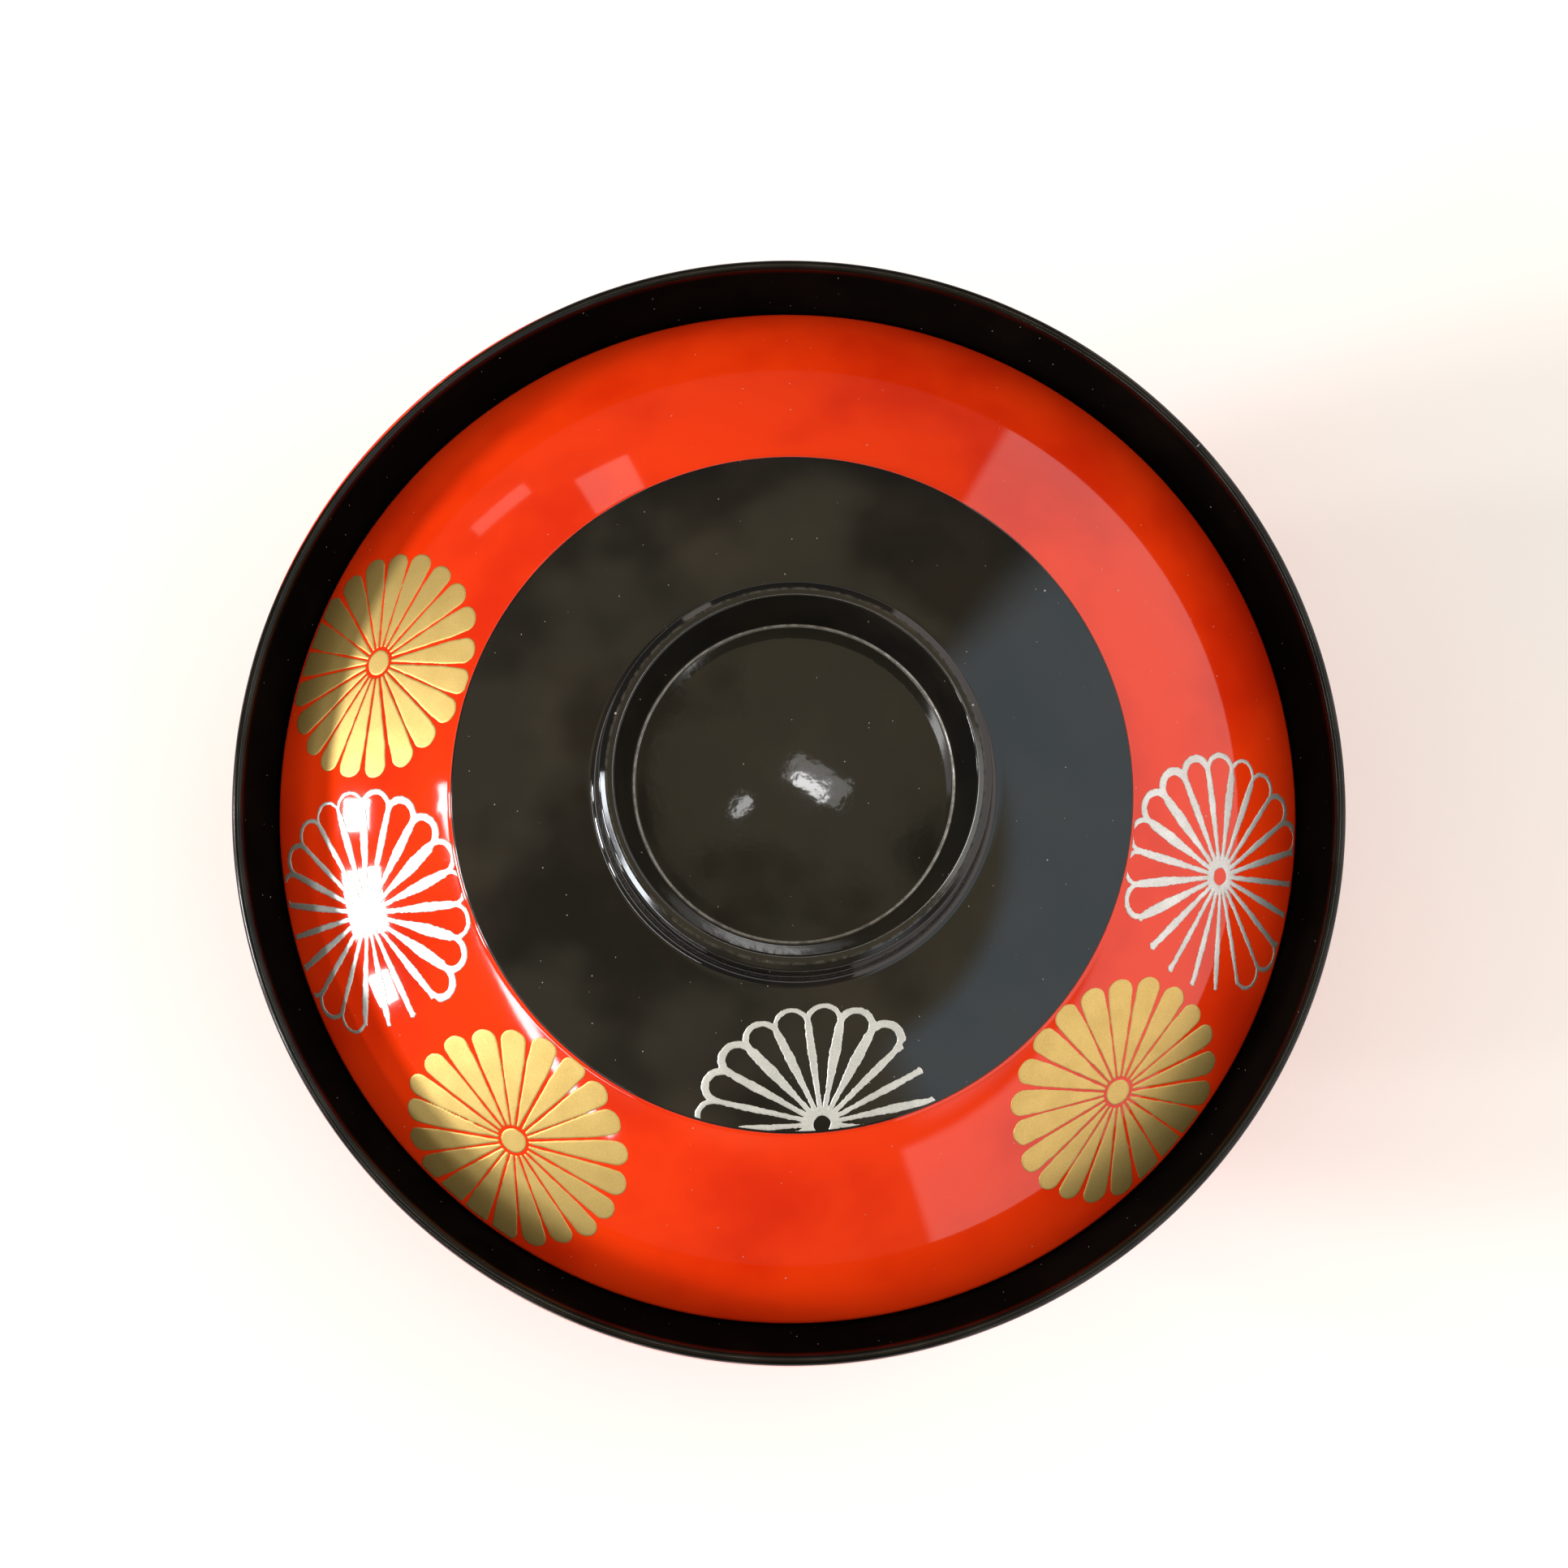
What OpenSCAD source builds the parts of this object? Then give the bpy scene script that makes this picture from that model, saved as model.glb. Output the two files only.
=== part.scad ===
// Lidded lacquer soup bowl. The lid drops inside the bowl's lip and lifts
// straight off by its ring. Both are turned cores under thin lacquer, with
// chrysanthemums laid on the lid in gold and silver.
// Origin: centre of the foot's resting face. +Z up, along the bowl's axis.

/* [Bowl] */
// Outer diameter at the lip
lip_d = 120; // [118:0.5:124]
// Height of the bowl without its lid
bowl_h = 66; // [62:1:70]
// How far the belly stands out past the lip, on the radius
belly_out = 1.3; // [0.9:0.1:1.8]
// Height of the hollow under the bowl, inside its foot
under_z = 12; // [10:0.5:13]
// Thickness of the bowl's bottom
floor_t = 4.2; // [3.5:0.1:5]
// Outer radius of the foot where it stands
foot_r = 30.5; // [29:0.5:32]
// Width of the foot's resting face
foot_t = 3.2; // [2.6:0.1:4]

/* [Lid] */
// How far the lid's lower edge sits below the lip
lid_sink = 9.75; // [8.75:0.25:10.5]
// Gap all round between the lid's edge and the wall it sits in
seat_gap = 0.15; // [0.1:0.05:0.3]
// Radius of the raised black middle
disc_r = 36; // [34:0.5:37]
// Height of the step round the black middle
step_h = 0.4; // [0.3:0.05:0.6]
// Radius of the ring's crest
ring_r = 19.1; // [18:0.1:20]
// Height of the ring's crest above the lip
ring_z = 16.25; // [14.5:0.25:17.25]

/* [Lacquer and decoration] */
// Thickness of the lacquer
coat = 0.25; // [0.2:0.05:0.3]
// Thickness of the gold and silver
film = 0.06; // [0.05:0.01:0.1]
// Size of the gold flowers, petal tip to centre
gold_r = 13; // [12:0.1:13.1]
// Size of the silver flowers, arc to centre
silver_r = 13.3; // [12.5:0.1:13.4]

/* [Hidden] */
$fa = 4;
$fs = 0.4;
far = 100;          // past everything, for cutting shapes
eps = 0.2;          // how far one region runs into the next it joins
grip = 0.01;        // how far the lip's round stands out of the arcs it ends

// Bowl: the lip is a small round, and each side of the wall leaves it on an
// arc that stands upright at the belly
lip_r = 0.6;
lip_x = lip_d / 2 - lip_r;
lip_z = bowl_h - lip_r - grip;
belly_z = bowl_h - 16;
belly_x = lip_d / 2 + belly_out;
wall_t = 5.2;
inner_x = belly_x - wall_t;
rise = lip_z - belly_z;
function sweep_r(reach) = (reach * reach + rise * rise - lip_r * lip_r) / (2 * (reach - lip_r));
outer_r = sweep_r(belly_x - lip_x);
flare_r = sweep_r(lip_x - inner_x);
function wall_at(z) = inner_x + flare_r - sqrt(flare_r * flare_r - pow(z - belly_z, 2));
floor_z = under_z + floor_t;
low_out_r = belly_z - under_z;
low_in_r = belly_z - floor_z;
foot_curve_r = 14;
foot_curve_z = 7;
foot_line_x = foot_r + 1.5;     // where the black foot gives way to red
red_line_z = bowl_h - 1.05;     // where the black lip gives way to red

// Lid: every face is part of a ball centred on the axis
skirt_r = 88.5;
crown_r = 115;
under_r = 92;
disc_z = bowl_h + 5.15;
skirt_c = disc_z - step_h - sqrt(skirt_r * skirt_r - disc_r * disc_r);
crown_c = disc_z - sqrt(crown_r * crown_r - disc_r * disc_r);
lid_t = 2.9;
under_c = crown_c + crown_r - lid_t - under_r;
lid_z = bowl_h - lid_sink;
lid_r = wall_at(lid_z) - seat_gap;
edge_r = 0.45;
function skirt_z(r) = skirt_c + sqrt(skirt_r * skirt_r - r * r);
function crown_z(r) = crown_c + sqrt(crown_r * crown_r - r * r);

// Ring on the lid: flat inner half, bevelled outer half, drafted walls
ring_top = bowl_h + ring_z;
ring_in_top = ring_r - 0.8;
ring_in_low = ring_r - 2.5;
ring_out_top = ring_r + 0.8;
ring_out_low = ring_r + 1.2;
bevel_h = 0.4;
fillet_r = 1.3;

// Flowers
petals = 21;
petal_step = 360 / petals;
flower_x = 47.1;
front_x = 35.1;
front_size = 0.972;
// A round flower on the slope, seen from straight above, is flatter: first
// its half towards the lid's middle, then the half towards the edge
on_slope = [0.845, 0.76];
on_middle = [0.93, 0.96];

// ---- outlines of the bowl, radius along X and height along Y ----

module at_belly(x, r) translate([x, belly_z]) circle(r);

module below(z) translate([0, z - far]) square([far, far]);

module round_end(inset) translate([lip_x, lip_z]) circle(lip_r + grip - inset);

// The wall above the belly, up to where the lip's round takes over
module upper_wall(inset) {
    out_c = belly_x - outer_r;
    in_c = inner_x + flare_r;
    intersection() {
        at_belly(out_c, outer_r - inset);
        at_belly(in_c, flare_r - inset);
        polygon([[lip_x - 12, belly_z], [lip_x + 12, belly_z],
                 [lip_x + (lip_x - out_c) / 20, lip_z + rise / 20], [lip_x, lip_z],
                 [lip_x - (in_c - lip_x) / 20, lip_z + rise / 20]]);
    }
    round_end(inset);
}

// A quarter round running into a flat bottom
module cup(x, r) {
    intersection() {
        union() {
            at_belly(x - r, r);
            translate([0, belly_z - r]) square([x - r, r]);
        }
        translate([0, belly_z - far]) square([far, far]);
    }
}

// The foot, hollowed on its outside and let into the bottom
module foot(inset) {
    top = under_z + 2;
    difference() {
        translate([foot_r - foot_t + inset, 0]) square([foot_t + 4 - inset, top]);
        translate([foot_r + sqrt(pow(foot_curve_r, 2) - pow(foot_curve_z, 2)), foot_curve_z])
            circle(foot_curve_r + inset);
    }
}

module bowl_outline(inset) {
    upper_wall(inset);
    difference() {
        cup(belly_x - inset, low_out_r - inset);
        cup(inner_x + inset, low_in_r + inset);
    }
    intersection() {
        foot(inset);
        union() {
            below(under_z + 1);
            cup(belly_x - inset, low_out_r - inset);
        }
    }
}

module bowl_coats() difference() {
    bowl_outline(0);
    bowl_outline(coat);
}

// Everything on the inner side of the wall, and over the lip
module inner_side() {
    mid = (low_out_r + low_in_r) / 2;
    mid_x = (belly_x + inner_x) / 2;
    cup(mid_x, mid);
    polygon([[0, belly_z - eps], [mid_x, belly_z - eps], [mid_x, belly_z],
             [lip_x, red_line_z], [far, red_line_z - 0.1], [far, far], [0, far]]);
}

// ---- outlines of the lid ----

module ball(c, r) translate([0, c]) circle(r);

module turned() rotate_extrude() children();

module ring_outline(inset) {
    low = crown_z(ring_out_low) - 1;
    fillet_x = ring_out_low + fillet_r;
    fillet_z = crown_c + sqrt(pow(crown_r + fillet_r, 2) - fillet_x * fillet_x);
    share = crown_r / (crown_r + fillet_r);
    polygon([[ring_in_low + inset, low], [ring_in_low + inset, crown_z(ring_in_low)],
             [ring_in_top + inset, ring_top - inset], [ring_r - inset, ring_top - inset],
             [ring_out_top - inset, ring_top - bevel_h - inset], [ring_out_low - inset, low]]);
    if (inset == 0) difference() {
        polygon([[ring_out_low - eps, fillet_z], [fillet_x, fillet_z],
                 [fillet_x * share, crown_c + (fillet_z - crown_c) * share],
                 [fillet_x * share, low], [ring_out_low - eps, low]]);
        translate([fillet_x, fillet_z]) circle(fillet_r);
    }
}

module lid_body(inset) {
    side = lid_r - inset;
    low = lid_z + inset;
    difference() {
        intersection() {
            union() {
                ball(skirt_c, skirt_r - inset);
                intersection() {
                    ball(crown_c, crown_r - inset);
                    translate([0, belly_z]) square([disc_r - inset, far]);
                }
            }
            union() {
                ball(crown_c, crown_r - inset);
                translate([disc_r - inset, 0]) square([far, far]);
            }
            union() {
                translate([0, low + edge_r]) square([side, far]);
                translate([0, low]) square([side - edge_r, far]);
                translate([side - edge_r, low + edge_r]) circle(edge_r);
            }
        }
        ball(under_c, under_r + inset);
    }
}

module lid_solid(inset) {
    turned() lid_body(inset);
    turned() ring_outline(inset);
}

module lid_coats() difference() {
    lid_solid(0);
    lid_solid(coat);
}

module lid_under_side() translate([0, 0, under_c]) sphere(under_r + lid_t / 2);

module middle() cylinder(h = far, r = disc_r);

// ---- flowers, flat, with +X away from the lid's middle ----

function flattened(u, v, flat) = [u * (u > 0 ? flat[1] : flat[0]), v];

function laid(p, a, flat) =
    flattened(p.x * cos(a) - p.y * sin(a), p.x * sin(a) + p.y * cos(a), flat);

module shape(points, a, flat) polygon([for (p = points) laid(p, a, flat)]);

module oval(r, flat) shape([for (t = [0:15:345]) [r * cos(t), r * sin(t)]], 0, flat);

module gold_flower(phase) {
    tip = 1.3;
    shoulder = gold_r - tip;
    outline = concat([[1.8, -0.15], [9.3, -1.29]],
        [for (t = [-90:20:90]) [shoulder + tip * cos(t), 1.46 * sin(t)]],
        [[9.3, 1.29], [1.8, 0.15]]);
    oval(1.45, on_slope);
    for (k = [0:petals - 1]) shape(outline, phase + k * petal_step, on_slope);
}

// Strokes that join at the middle and are linked by arcs round the outside.
// The arcs from gap_from to gap_to never took, and leave only their ends.
module silver_flower(phase, gap_from, gap_to, weight, flat) {
    arc_r = 1.75;
    arc_x = silver_r - arc_r;
    difference() {
        oval(1.75, flat);
        oval(0.92, flat);
    }
    for (k = [0:petals - 1]) {
        w = weight * (1 + 0.18 * sin(k * 97));
        shape([[1.4, -0.2], [3.8, -0.26], [8.1, -w], [11.1, -w * 0.8], [arc_x - 0.05, -0.26],
               [arc_x - 0.05, 0.26], [11.1, w * 0.8], [8.1, w], [3.8, 0.26], [1.4, 0.2]],
              phase + k * petal_step, flat);
        half = 0.24 * (1 + 0.3 * sin(k * 61 + 40));
        for (ends = k >= gap_from && k < gap_to ? [[-100, -74], [76, 100]] : [[-100, 100]])
            shape(concat(
                [for (t = [ends[0]:(ends[1] - ends[0]) / 12:ends[1] + 0.01])
                    [arc_x + (arc_r + half) * cos(t), (arc_r + half) * sin(t)]],
                [for (t = [ends[1]:(ends[0] - ends[1]) / 12:ends[0] - 0.01])
                    [arc_x + (arc_r - half) * cos(t), (arc_r - half) * sin(t)]]),
                phase + (k + 0.5) * petal_step, flat);
    }
}

// Lays a flat flower as a film on the ball of radius r centred at height c,
// between two radii of the lid
module laid_on(c, r, low_r, high_r, azimuth, x) intersection() {
    turned() intersection() {
        difference() {
            ball(c, r + film);
            ball(c, r);
        }
        translate([low_r, belly_z]) square([high_r - low_r, far]);
    }
    rotate([0, 0, azimuth]) translate([x, 0, belly_z]) linear_extrude(bowl_h) children();
}

module on_skirt(azimuth) laid_on(skirt_c, skirt_r, disc_r + 0.3, lid_r - 0.35, azimuth, flower_x)
    children();

// ---- sub-parts ----

module bowl_core() color("peru") turned() bowl_outline(coat);

module bowl_red_coat() color("red") turned() intersection() {
    difference() {
        bowl_coats();
        inner_side();
    }
    translate([foot_line_x, 0]) square(far);
}

module bowl_inner_coat() color("black") turned() intersection() {
    bowl_coats();
    inner_side();
}

module bowl_foot_coat() color("black") turned() intersection() {
    difference() {
        bowl_coats();
        inner_side();
    }
    square([foot_line_x, far]);
}

module lid_core() color("peru") lid_solid(coat);

module lid_red_coat() color("red") difference() {
    lid_coats();
    lid_under_side();
    middle();
}

module lid_black_coat() color("black") intersection() {
    difference() {
        lid_coats();
        lid_under_side();
    }
    middle();
}

module lid_inner_coat() color("black") intersection() {
    lid_coats();
    lid_under_side();
}

module gold_flower_back() color("gold") on_skirt(161.9) gold_flower(9.2);
module gold_flower_left() color("gold") on_skirt(-128.8) gold_flower(6.7);
module gold_flower_right() color("gold") on_skirt(-42.5) gold_flower(0.5);

module silver_flower_left() color("silver")
    on_skirt(-164.4) silver_flower(-1.8, 4, 7, 0.46, on_slope);

module silver_flower_right() color("silver")
    on_skirt(-10.7) silver_flower(6.9, 12, 17, 0.4, on_slope);

module silver_flower_front() color("silver")
    laid_on(crown_c, crown_r, 0, disc_r - 0.25, -85.3, front_x)
        scale(front_size) silver_flower(12, 5, 7, 0.38, on_middle);

bowl_core();
bowl_red_coat();
bowl_inner_coat();
bowl_foot_coat();
lid_core();
lid_red_coat();
lid_black_coat();
lid_inner_coat();
gold_flower_back();
gold_flower_left();
gold_flower_right();
silver_flower_left();
silver_flower_right();
silver_flower_front();
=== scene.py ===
# Lidded lacquer soup bowl. The turned cores come from the frame; the lacquer
# over them and the flowers on the lid are made here.
# Lengths in the dictionaries are millimetres, angles are degrees.
import math

import bmesh
import bpy
import numpy as np
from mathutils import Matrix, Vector


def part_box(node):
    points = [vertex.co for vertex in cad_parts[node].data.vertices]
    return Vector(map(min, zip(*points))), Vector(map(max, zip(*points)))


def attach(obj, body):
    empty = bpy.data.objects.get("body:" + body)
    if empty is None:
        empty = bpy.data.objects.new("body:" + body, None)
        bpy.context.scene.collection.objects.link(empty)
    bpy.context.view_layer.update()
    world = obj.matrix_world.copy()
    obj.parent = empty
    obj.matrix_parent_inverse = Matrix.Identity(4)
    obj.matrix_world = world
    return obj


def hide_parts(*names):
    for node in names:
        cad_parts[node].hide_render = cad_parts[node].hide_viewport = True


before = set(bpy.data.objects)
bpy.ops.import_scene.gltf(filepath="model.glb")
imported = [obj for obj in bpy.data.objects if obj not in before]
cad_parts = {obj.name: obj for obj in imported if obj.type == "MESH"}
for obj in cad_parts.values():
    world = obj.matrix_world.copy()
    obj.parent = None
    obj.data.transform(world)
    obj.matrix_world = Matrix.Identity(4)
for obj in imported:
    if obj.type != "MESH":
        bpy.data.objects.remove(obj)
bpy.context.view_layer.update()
mm = 0.001
scene = bpy.context.scene


def low(node, axis):
    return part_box(node)[0][axis] / mm


def high(node, axis):
    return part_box(node)[1][axis] / mm


print("frame loaded:", len(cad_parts), "nodes")


# ---- outlines: radius and height, drawn once and turned about the axis ----

def arc(centre, radius, start, stop, step=0.5):
    count = max(3, int(abs(math.radians(stop - start)) * radius / step) + 1)
    turn = np.radians(np.linspace(start, stop, count))
    return np.stack([centre[0] + radius * np.cos(turn), centre[1] + radius * np.sin(turn)], 1)


def line(start, stop, step=1.0):
    return np.linspace(start, stop, max(2, int(math.dist(start, stop) / step) + 1))


def lengthsOf(path):
    return np.concatenate([[0], np.cumsum(np.hypot(*np.diff(path, axis=0).T))])


def pointAt(path, where):
    along = lengthsOf(path)
    return np.stack([np.interp(where, along, path[:, k]) for k in (0, 1)], -1)


# Cuts both ends off a run, and sets close rings there that hold the shading
def trimmed(run, cutStart, cutEnd):
    along = lengthsOf(run)
    first, last = cutStart, along[-1] - cutEnd
    inner = along[(along > first + 0.6 * cutStart + 1e-6) & (along < last - 0.6 * cutEnd - 1e-6)]
    lead = [first, first + 0.3 * cutStart] if cutStart else [first]
    tail = [last - 0.3 * cutEnd, last] if cutEnd else [last]
    return pointAt(run, np.concatenate([lead, inner, tail]))


# Joins runs end to end and rounds each corner: its softness is how much is
# taken off the run before it and the run after it
def joined(runs, softness, steps=7):
    path = []
    for k, run in enumerate(runs):
        cutStart = softness[k - 1][1] if k else 0
        cutEnd = softness[k][0] if k < len(softness) else 0
        path.extend(trimmed(run, cutStart, cutEnd))
        if cutEnd:
            here, corner = path[-1], run[-1]
            there = pointAt(runs[k + 1], softness[k][1])
            for t in np.linspace(0, 1, steps + 2)[1:-1]:
                path.append((1 - t) ** 2 * here + 2 * t * (1 - t) * corner + t * t * there)
    path = np.array(path)
    return path[np.concatenate([[True], np.hypot(*np.diff(path, axis=0).T) > 1e-4])]


# An outline with its outward side, read by the length along it
class Outline:
    def __init__(self, path):
        self.path = path
        self.along = lengthsOf(path)
        slope = np.gradient(path, self.along, axis=0)
        slope /= np.hypot(*slope.T)[:, None]
        self.normal = np.stack([slope[:, 1], -slope[:, 0]], 1)

    def at(self, where, depth=0.0):
        sunk = self.path - depth * self.normal
        return np.stack([np.interp(where, self.along, sunk[:, k]) for k in (0, 1)], -1)

    def near(self, point):
        fine = np.linspace(0, self.along[-1], 40000)
        return float(fine[np.argmin(np.hypot(*(self.at(fine) - np.array(point)).T))])

    # places along it from start to stop, the drawn points among them
    def places(self, start, stop):
        inner = self.along[(self.along > start + 0.01) & (self.along < stop - 0.01)]
        return np.concatenate([[start], inner, [stop]])


def makePiece(name, points, faces, material, body):
    mesh = bpy.data.meshes.new(name)
    mesh.from_pydata(points, [], faces)
    shape = bmesh.new()
    shape.from_mesh(mesh)
    bmesh.ops.recalc_face_normals(shape, faces=shape.faces)
    shape.to_mesh(mesh)
    shape.free()
    mesh.shade_smooth()
    mesh.materials.append(material)
    piece = bpy.data.objects.new(name, mesh)
    scene.collection.objects.link(piece)
    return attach(piece, body)


turning = {"segments": 384}


# Turns closed loops about the axis. A loop is an array of radius and height
# for each azimuth, or one for them all; a point on the axis becomes a pole.
def turned(loops):
    count = turning["segments"]
    azimuth = np.linspace(0, 2 * math.pi, count, endpoint=False)
    points, faces, total = [], [], 0
    for loop in loops:
        loop = np.broadcast_to(loop, (count, *loop.shape[-2:]))
        starts = []
        for k in range(loop.shape[1]):
            radius, height = loop[:, k, 0], loop[:, k, 1]
            starts.append(total)
            if radius[0] < 1e-4:
                points.append([[0, 0, height[0] * mm]])
            else:
                east, north = radius * np.cos(azimuth), radius * np.sin(azimuth)
                points.append(np.stack([east, north, height], 1) * mm)
            total += len(points[-1])
        sizes = [len(ring) for ring in points[-loop.shape[1]:]]
        here = np.arange(count)
        ahead = (here + 1) % count
        for k, first in enumerate(starts):
            other = (k + 1) % len(starts)
            second = starts[other]
            if sizes[k] > 1 and sizes[other] > 1:
                quads = np.stack([first + here, first + ahead, second + ahead, second + here], 1)
                faces.extend(quads.tolist())
            elif sizes[k] > 1:
                faces.extend([[first + a, first + b, second] for a, b in zip(here, ahead)])
            elif sizes[other] > 1:
                faces.extend([[second + a, second + b, first] for a, b in zip(here, ahead)])
    return np.concatenate(points).tolist(), faces


# A coat of lacquer on an outline, from one place along it to another. The
# ends may wander with azimuth: startShift and stopShift are arrays.
def coatLoop(outline, start, stop, depth, startShift=None, stopShift=None, reach=1.5):
    places = outline.places(start, stop)
    thin = np.unique(np.concatenate([places[::3], places[-1:]]))

    def rings(where, sunk):
        moved = np.broadcast_to(where, (turning["segments"], len(where))).copy()
        if startShift is not None:
            moved += startShift[:, None] * np.clip(1 - (where - start) / reach, 0, 1)
        if stopShift is not None:
            moved += stopShift[:, None] * np.clip(1 - (stop - where) / reach, 0, 1)
        return outline.at(moved, sunk)

    # where the outline turns tightly its sunk copy folds, so those points go
    sunkPoints = outline.at(thin, depth)
    clear = [np.hypot(*(outline.path - p).T).min() > 0.9 * depth for p in sunkPoints]
    clear[0] = clear[-1] = True
    thin = thin[np.array(clear)]
    return np.concatenate([rings(places, 0.0), rings(thin, depth)[:, ::-1]], 1)


# ---- paint: shader nodes written as sums ----

class Wire:
    def __init__(self, paint, socket):
        self.paint, self.socket = paint, socket

    def __add__(self, other): return self.paint.maths("ADD", self, other)
    def __radd__(self, other): return self.paint.maths("ADD", other, self)
    def __sub__(self, other): return self.paint.maths("SUBTRACT", self, other)
    def __rsub__(self, other): return self.paint.maths("SUBTRACT", other, self)
    def __mul__(self, other): return self.paint.maths("MULTIPLY", self, other)
    def __rmul__(self, other): return self.paint.maths("MULTIPLY", other, self)
    def __truediv__(self, other): return self.paint.maths("DIVIDE", self, other)
    def __pow__(self, other): return self.paint.maths("POWER", self, other)
    def atLeast(self, other): return self.paint.maths("MAXIMUM", self, other)
    def size(self): return self.paint.maths("ABSOLUTE", self)

    # 0 below the first value, 1 above the second, eased between
    def rise(self, first, second):
        return self.paint.add("ShaderNodeMapRange", {"interpolation_type": "SMOOTHSTEP"},
                              {"Value": self, "From Min": first, "From Max": second})


class Paint:
    def __init__(self, tree):
        self.tree = tree
        tree.nodes.clear()

    def add(self, kind, settings=None, sockets=None, out=0):
        node = self.tree.nodes.new(kind)
        for key, value in (settings or {}).items():
            setattr(node, key, value)
        for key, value in (sockets or {}).items():
            if isinstance(value, Wire):
                self.tree.links.new(value.socket, node.inputs[key])
            else:
                node.inputs[key].default_value = value
        return Wire(self, node.outputs[out]) if node.outputs else node

    def maths(self, operation, first, second=0.0):
        return self.add("ShaderNodeMath", {"operation": operation}, {0: first, 1: second})

    # colours a and b, mixed by amount
    def mix(self, amount, a, b):
        a, b = (v if isinstance(v, Wire) else (*v, 1) for v in (a, b))
        return self.add("ShaderNodeMix", {"data_type": "RGBA"}, {0: amount, 6: a, 7: b}, 2)

    def noise(self, where, scale, detail=2.0, roughness=0.5):
        return self.add("ShaderNodeTexNoise", {},
                        {"Vector": where, "Scale": scale, "Detail": detail, "Roughness": roughness})

    # small spots, each of its own size up to the width given, about the
    # spacing given apart; only a share of the places has one
    def specks(self, where, spacing, width, share):
        settings = {"voronoi_dimensions": "2D"}
        sockets = {"Vector": where, "Scale": 1 / spacing}
        distance = self.add("ShaderNodeTexVoronoi", settings, sockets)
        chance = self.add("ShaderNodeSeparateColor", {},
                          {0: self.add("ShaderNodeTexVoronoi", settings, sockets, "Color")})
        own = (chance - (1 - share)).atLeast(0) / share
        return (own * width / spacing - distance).rise(0, 0.3 * width / spacing)


class Finish(Paint):
    def __init__(self, name):
        self.material = bpy.data.materials.new(name)
        self.material.use_nodes = True
        super().__init__(self.material.node_tree)
        inMetres = self.add("ShaderNodeTexCoord", {}, {}, "Object")
        self.place = self.add("ShaderNodeVectorMath", {"operation": "SCALE"},
                              {0: inMetres, "Scale": 1 / mm})
        self.x, self.y, self.z = (self.add("ShaderNodeSeparateXYZ", {}, {0: self.place}, k)
                                  for k in range(3))
        self.radius = (self.x * self.x + self.y * self.y) ** 0.5
        self.azimuth = self.maths("ARCTAN2", self.y, self.x)

    # the wall of a turned piece, unrolled
    def unrolled(self, radius):
        return self.add("ShaderNodeCombineXYZ", {}, {0: self.azimuth * radius, 1: self.z})

    # height in millimetres to the change that it makes in the normal
    def bump(self, height):
        return self.add("ShaderNodeBump", {}, {"Strength": 1.0, "Distance": mm, "Height": height})

    def done(self, sockets):
        shader = self.add("ShaderNodeBsdfPrincipled", {}, sockets)
        self.tree.links.new(shader.socket, self.add("ShaderNodeOutputMaterial").inputs["Surface"])
        return self.material


# ---- lacquer ----

lacquer = {
    "red": (0.78, 0.036, 0.003), "deepRed": (0.63, 0.021, 0.002),
    "black": (0.0055, 0.0050, 0.0045), "warmBlack": (0.012, 0.009, 0.007),
    # the last pale colour on the next line is for rubbed wear and also for painted highlights on the lid's
    # ring
    "dust": (0.40, 0.37, 0.33), "wearAndHighlight": (0.30, 0.27, 0.23), "dimple": 0.009,
    "gloss": 0.035, "ripple": 0.0009, "sway": 0.006, "dustHeight": 0.004, "dustShows": 0.8,
}


# What every lacquer has: long sway, fine ripple and a little dust
def lacquered(p, dusting, colour, extraHeight=None, roughness=None, more=None):
    speck = p.specks(dusting, 2.6, 0.075, 0.3)
    lint = p.specks(dusting, 9.0, 0.14, 0.25)
    dust = speck.atLeast(lint)
    sway = p.noise(p.place, 0.11, 1.0)
    ripple = p.noise(p.place, 0.95, 2.0)
    height = sway * lacquer["sway"] + ripple * lacquer["ripple"] + dust * lacquer["dustHeight"]
    if extraHeight is not None:
        height = height + extraHeight
    if roughness is None:
        roughness = lacquer["gloss"] + 0.03 * p.noise(p.place, 0.4, 3.0)
    return p.done({
        "Base Color": p.mix(dust * lacquer["dustShows"], colour, lacquer["dust"]),
        "Roughness": roughness + dust * 0.5,
        "Normal": p.bump(height), "IOR": 1.52, **(more or {}),
    })


def flat(p):
    return p.add("ShaderNodeCombineXYZ", {}, {0: p.x, 1: p.y})


def redLacquer(name, wall=0.0):
    p = Finish(name)
    cloud = p.noise(p.place, 0.07, 3.0).rise(0.35, 0.7)
    colour = p.mix(cloud, lacquer["red"], lacquer["deepRed"])
    return lacquered(p, p.unrolled(wall) if wall else flat(p), colour)


def lidBlackLacquer(name, crest, recess):
    p = Finish(name)
    cloud = p.noise(p.place, 0.09, 3.0).rise(0.4, 0.7)
    colour = p.mix(cloud, lacquer["black"], lacquer["warmBlack"])
    # the ring's crest is rubbed pale, partly real wear and partly a painted highlight, and a painted
    # highlight runs round its foot where it meets the recess
    broken = p.noise(p.place, 1.3, 4.0).rise(0.35, 0.62)
    onCrest = 1 - (p.radius - crest[0]).size().rise(0.05, 0.22)
    crestWearAndHighlight = onCrest * (p.z - crest[1] + 0.4).rise(0, 0.2) * broken
    inRecess = 1 - (p.radius - recess[0]).size().rise(0.06, 0.2)
    recessFootHighlight = inRecess * (1 - (p.z - recess[1]).rise(0.1, 0.35)) * (0.5 + 0.5 * broken)
    colour = p.mix((crestWearAndHighlight * 0.1).atLeast(recessFootHighlight), colour, lacquer["wearAndHighlight"])
    # inside the ring the lacquer has flowed less, and lies uneven
    dimples = p.noise(p.place, 0.75, 2.0) * (1 - (p.radius - recess[0]).rise(-1.5, -0.5))
    return lacquered(p, flat(p), colour, dimples * lacquer["dimple"])


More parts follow.
